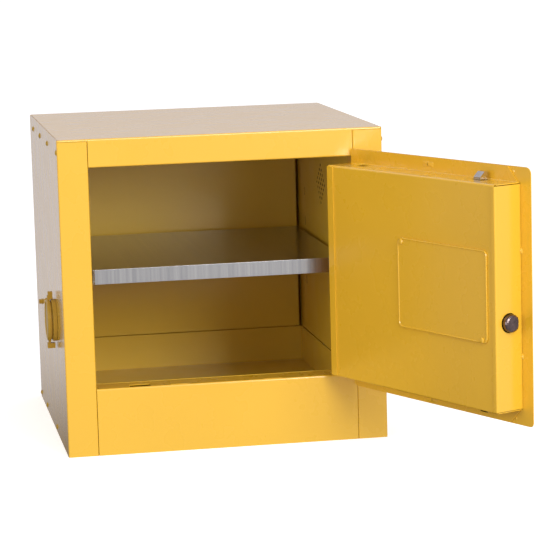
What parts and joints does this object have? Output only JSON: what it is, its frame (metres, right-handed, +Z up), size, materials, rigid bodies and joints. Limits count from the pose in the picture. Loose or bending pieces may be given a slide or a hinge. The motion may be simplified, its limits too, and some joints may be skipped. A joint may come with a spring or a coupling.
{
  "type": "flammable storage cabinet",
  "caption": "Small double-walled steel cabinet with a sump, one shelf, capped side vents and a hinged door latched by a turning handle.",
  "frame": {"origin": "centre of the cabinet body's footprint, on the base plane", "axes": "+Z up, -Y is the front with the door, +X is the hinge side"},
  "size_m": [0.5699, 0.7855, 0.433],
  "materials": {
    "yellow_enamel": "gloss",
    "mustard_enamel": "satin",
    "burnished_steel": "dark, burnished",
    "galvanised_steel": "galvanised, spangled",
    "zinc_plated_steel": "bright zinc plate",
    "chrome": "polished",
    "brass_gauze": "fine gauze"
  },
  "bodies": {
    "cabinet": {"left_side_panel": "yellow_enamel", "right_side_panel": "yellow_enamel", "top_panel": "yellow_enamel", "back_panel": "yellow_enamel", "bottom_panel": "yellow_enamel", "kick_panel": "yellow_enamel", "sump_tray": "yellow_enamel", "inner_left_panel": "yellow_enamel", "inner_right_panel": "yellow_enamel", "inner_back_panel": "yellow_enamel", "inner_top_panel": "yellow_enamel", "left_vent_tube": "mustard_enamel", "right_vent_tube": "mustard_enamel", "left_vent_screen": "brass_gauze", "right_vent_screen": "brass_gauze", "ground_screw": "mustard_enamel", "ground_nut": "zinc_plated_steel", "side_stud": "mustard_enamel", "hinge_frame_leaf": "yellow_enamel", "hinge_pin": "zinc_plated_steel", "shelf_clip_left_front": "zinc_plated_steel", "shelf_clip_left_rear": "zinc_plated_steel", "shelf_clip_right_front": "zinc_plated_steel", "shelf_clip_right_rear": "zinc_plated_steel"},
    "door": {"door_skin": "yellow_enamel", "door_pan": "yellow_enamel", "door_hinge_channel": "yellow_enamel", "hinge_door_leaf": "yellow_enamel", "access_plate": "yellow_enamel", "plate_screw_upper": "yellow_enamel", "plate_screw_lower": "yellow_enamel", "lock_case": "zinc_plated_steel", "top_rod_guide": "zinc_plated_steel", "bottom_rod_guide": "zinc_plated_steel", "handle_plate": "chrome", "top_rod_spring": "zinc_plated_steel", "bottom_rod_spring": "zinc_plated_steel"},
    "handle": {"door_handle": "chrome", "spindle_cam": "zinc_plated_steel"},
    "key_cylinder": {"key_cylinder": "zinc_plated_steel"},
    "top_latch": {"top_rod": "zinc_plated_steel", "top_latch_tip": "zinc_plated_steel"},
    "bottom_latch": {"bottom_rod": "zinc_plated_steel", "bottom_latch_tip": "zinc_plated_steel"},
    "side_bolt": {"side_bolt": "burnished_steel"},
    "shelf": {"shelf": "galvanised_steel"},
    "left_vent_cap": {"left_vent_cap": "mustard_enamel"},
    "right_vent_cap": {"right_vent_cap": "mustard_enamel"}
  },
  "joints": [
    {"name": "door_hinge", "type": "hinge", "parent": "cabinet", "child": "door", "pos_m": [0.17775, -0.2238, 0.2415], "axis": [0, 0, 1], "range_deg": [-114.7, 55]},
    {"name": "handle_turn", "type": "hinge", "parent": "door", "child": "handle", "pos_m": [0.29819, -0.48926, 0.2105], "axis": [0.9085, 0.4179, 0], "range_deg": [0, 60]},
    {"name": "key_turn", "type": "hinge", "parent": "handle", "child": "key_cylinder", "pos_m": [0.32818, -0.47547, 0.2105], "axis": [0.9085, 0.4179, 0], "range_deg": [0, 90]},
    {"name": "top_latch_slide", "type": "slide", "parent": "door", "child": "top_latch", "axis": [0, 0, 1], "range_m": [-0.012, 0], "stiffness_N_per_m": 200, "springref_m": 0.012, "deforming": ["top_rod_spring"]},
    {"name": "bottom_latch_slide", "type": "slide", "parent": "door", "child": "bottom_latch", "axis": [0, 0, 1], "range_m": [0, 0.012], "stiffness_N_per_m": 200, "springref_m": -0.012, "deforming": ["bottom_rod_spring"]},
    {"name": "side_bolt_slide", "type": "slide", "parent": "door", "child": "side_bolt", "axis": [0.4179, -0.9085, 0], "range_m": [-0.012, 0]},
    {"name": "shelf_lift", "type": "slide", "parent": "cabinet", "child": "shelf", "axis": [0, 0, 1], "range_m": [0, 0.045]},
    {"name": "left_vent_turn", "type": "hinge", "parent": "cabinet", "child": "left_vent_cap", "pos_m": [-0.22225, -0.0985, 0.1708], "axis": [-1, 0, 0], "continuous": true},
    {"name": "right_vent_turn", "type": "hinge", "parent": "cabinet", "child": "right_vent_cap", "pos_m": [0.22225, 0.0085, 0.3315], "axis": [1, 0, 0], "continuous": true}
  ],
  "couplings": [
    {"joint": "top_latch_slide", "follows": "handle_turn", "m_per_rad": -0.011459},
    {"joint": "bottom_latch_slide", "follows": "handle_turn", "m_per_rad": 0.011459},
    {"joint": "side_bolt_slide", "follows": "handle_turn", "m_per_rad": -0.011459}
  ]
}
